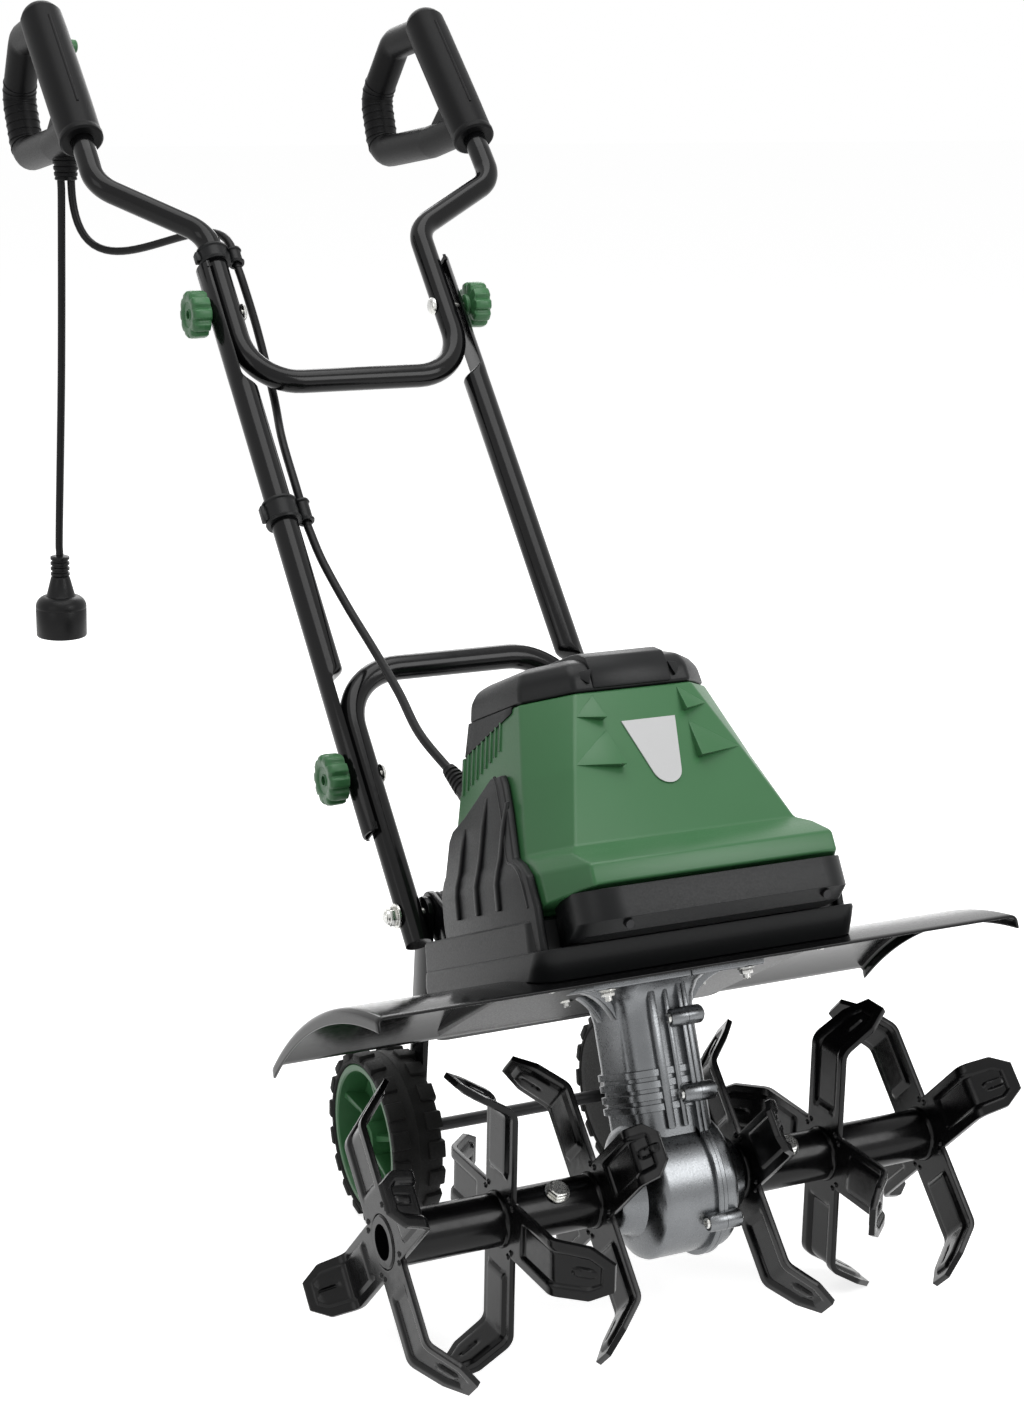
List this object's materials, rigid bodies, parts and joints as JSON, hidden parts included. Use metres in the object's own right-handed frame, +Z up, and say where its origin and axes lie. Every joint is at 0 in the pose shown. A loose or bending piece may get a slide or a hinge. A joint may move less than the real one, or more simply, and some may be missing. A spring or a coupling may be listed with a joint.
{
  "type": "electric garden tiller",
  "caption": "Walk-behind electric garden tiller: pressed tine stars on a geared shaft under a green and black motor housing, small wheels, folding tube handle with loop grips and short lead.",
  "frame": {"origin": "on the ground under the middle of the machine's box, leaving out the hanging lead and plug", "axes": "+Z up, -Y the way the machine faces, +X to the right as seen from the front; left and right in names are as seen from the front"},
  "size_m": [0.493, 1.0645, 0.9085],
  "materials": {
    "black_paint": "gloss black enamel on steel",
    "black_plastic": "fine-grained black moulding",
    "green_plastic": "satin green moulding",
    "cast_case": "as-cast, tumbled",
    "zinc": "bright zinc plate",
    "steel": "turned and oiled",
    "motor_core": "laminations with lacquered windings",
    "tyre": "moulded black tread",
    "cable": "satin black sheath"
  },
  "bodies": {
    "chassis": {"guard": "black_paint", "base_housing": "black_plastic", "motor_cover": "green_plastic", "top_cap": "black_plastic", "front_bumper": "black_plastic", "gearbox_left": "cast_case", "gearbox_right": "cast_case", "motor_stator": "motor_core", "left_tine_bearing": "steel", "right_tine_bearing": "steel", "left_bracket": "black_paint", "right_bracket": "black_paint", "left_pivot_bolt": "zinc", "right_pivot_bolt": "zinc", "left_torsion_spring": "steel", "right_torsion_spring": "steel", "lower_handle": "black_paint", "left_lower_clamp_bolt": "zinc", "right_lower_clamp_bolt": "zinc", "cable_motor": "cable"},
    "tine_rotor": {"tine_shaft": "steel", "crown_gear": "steel", "left_tine_tube": "black_paint", "right_tine_tube": "black_paint", "left_outer_star": "black_paint", "right_outer_star": "black_paint", "left_middle_star": "black_paint", "right_middle_star": "black_paint", "left_inner_star": "black_paint", "right_inner_star": "black_paint", "left_tine_bolt": "zinc", "right_tine_bolt": "zinc"},
    "motor_rotor": {"armature": "motor_core", "drive_shaft": "steel"},
    "wheel_carriage": {"left_wheel_arm": "black_paint", "right_wheel_arm": "black_paint", "wheel_axle": "steel"},
    "left_wheel": {"left_tyre": "tyre", "left_rim": "green_plastic"},
    "right_wheel": {"right_tyre": "tyre", "right_rim": "green_plastic"},
    "middle_frame": {"left_middle_tube": "black_paint", "right_middle_tube": "black_paint", "cable_clip_middle": "black_plastic", "left_upper_clamp_bolt": "zinc", "right_upper_clamp_bolt": "zinc", "cable_fold": "cable"},
    "upper_frame": {"upper_handle": "black_paint", "left_grip": "black_plastic", "right_grip": "black_plastic", "cable_clip_upper": "black_plastic", "cable_loop": "cable", "mains_lead": "cable", "mains_plug": "cable"},
    "left_lower_knob": {"left_lower_knob": "green_plastic"},
    "right_lower_knob": {"right_lower_knob": "green_plastic"},
    "left_upper_knob": {"left_upper_knob": "green_plastic"},
    "right_upper_knob": {"right_upper_knob": "green_plastic"},
    "switch_lever": {"switch_lever": "green_plastic"},
    "safety_button": {"safety_button": "green_plastic"}
  },
  "joints": [
    {"name": "tine_spin", "type": "hinge", "parent": "chassis", "child": "tine_rotor", "pos_m": [0, -0.4223, 0.11], "axis": [1, 0, 0], "continuous": true},
    {"name": "motor_spin", "type": "hinge", "parent": "chassis", "child": "motor_rotor", "pos_m": [0, -0.4223, 0.11], "axis": [0, 0.3987, 0.9171], "continuous": true},
    {"name": "wheel_swing", "type": "hinge", "parent": "chassis", "child": "wheel_carriage", "pos_m": [0, -0.1938, 0.2497], "axis": [1, 0, 0], "range_deg": [0, 80], "deforming": ["left_torsion_spring", "right_torsion_spring"]},
    {"name": "left_wheel_spin", "type": "hinge", "parent": "wheel_carriage", "child": "left_wheel", "pos_m": [0, -0.1793, 0.067], "axis": [1, 0, 0], "continuous": true},
    {"name": "right_wheel_spin", "type": "hinge", "parent": "wheel_carriage", "child": "right_wheel", "pos_m": [0, -0.1793, 0.067], "axis": [1, 0, 0], "continuous": true},
    {"name": "handle_fold", "type": "hinge", "parent": "chassis", "child": "middle_frame", "pos_m": [0, -0.1133, 0.336], "axis": [1, 0, 0], "range_deg": [-40, 80], "deforming": ["cable_motor"]},
    {"name": "upper_fold", "type": "hinge", "parent": "middle_frame", "child": "upper_frame", "pos_m": [0, 0.18473, 0.6556], "axis": [1, 0, 0], "range_deg": [-30, 110], "deforming": ["cable_fold"]},
    {"name": "left_lower_knob_turn", "type": "hinge", "parent": "chassis", "child": "left_lower_knob", "pos_m": [-0.128, -0.1133, 0.336], "axis": [-1, 0, 0], "range_deg": [0, 360]},
    {"name": "left_upper_knob_turn", "type": "hinge", "parent": "middle_frame", "child": "left_upper_knob", "pos_m": [-0.128, 0.18473, 0.6556], "axis": [-1, 0, 0], "range_deg": [0, 360]},
    {"name": "right_lower_knob_turn", "type": "hinge", "parent": "chassis", "child": "right_lower_knob", "pos_m": [0.128, -0.1133, 0.336], "axis": [1, 0, 0], "range_deg": [0, 360]},
    {"name": "right_upper_knob_turn", "type": "hinge", "parent": "middle_frame", "child": "right_upper_knob", "pos_m": [0.128, 0.18473, 0.6556], "axis": [1, 0, 0], "range_deg": [0, 360]},
    {"name": "switch_squeeze", "type": "hinge", "parent": "upper_frame", "child": "switch_lever", "pos_m": [-0.184, 0.41784, 0.86322], "axis": [-1, 0, 0], "range_deg": [0, 5.5], "stiffness_Nm_per_rad": 1.5, "springref_deg": -5.73},
    {"name": "safety_press", "type": "slide", "parent": "upper_frame", "child": "safety_button", "axis": [-1, 0, 0], "range_m": [0, 0.003], "stiffness_N_per_m": 600, "springref_m": -0.002}
  ],
  "couplings": [
    {"joint": "motor_spin", "follows": "tine_spin", "ratio": 4}
  ]
}
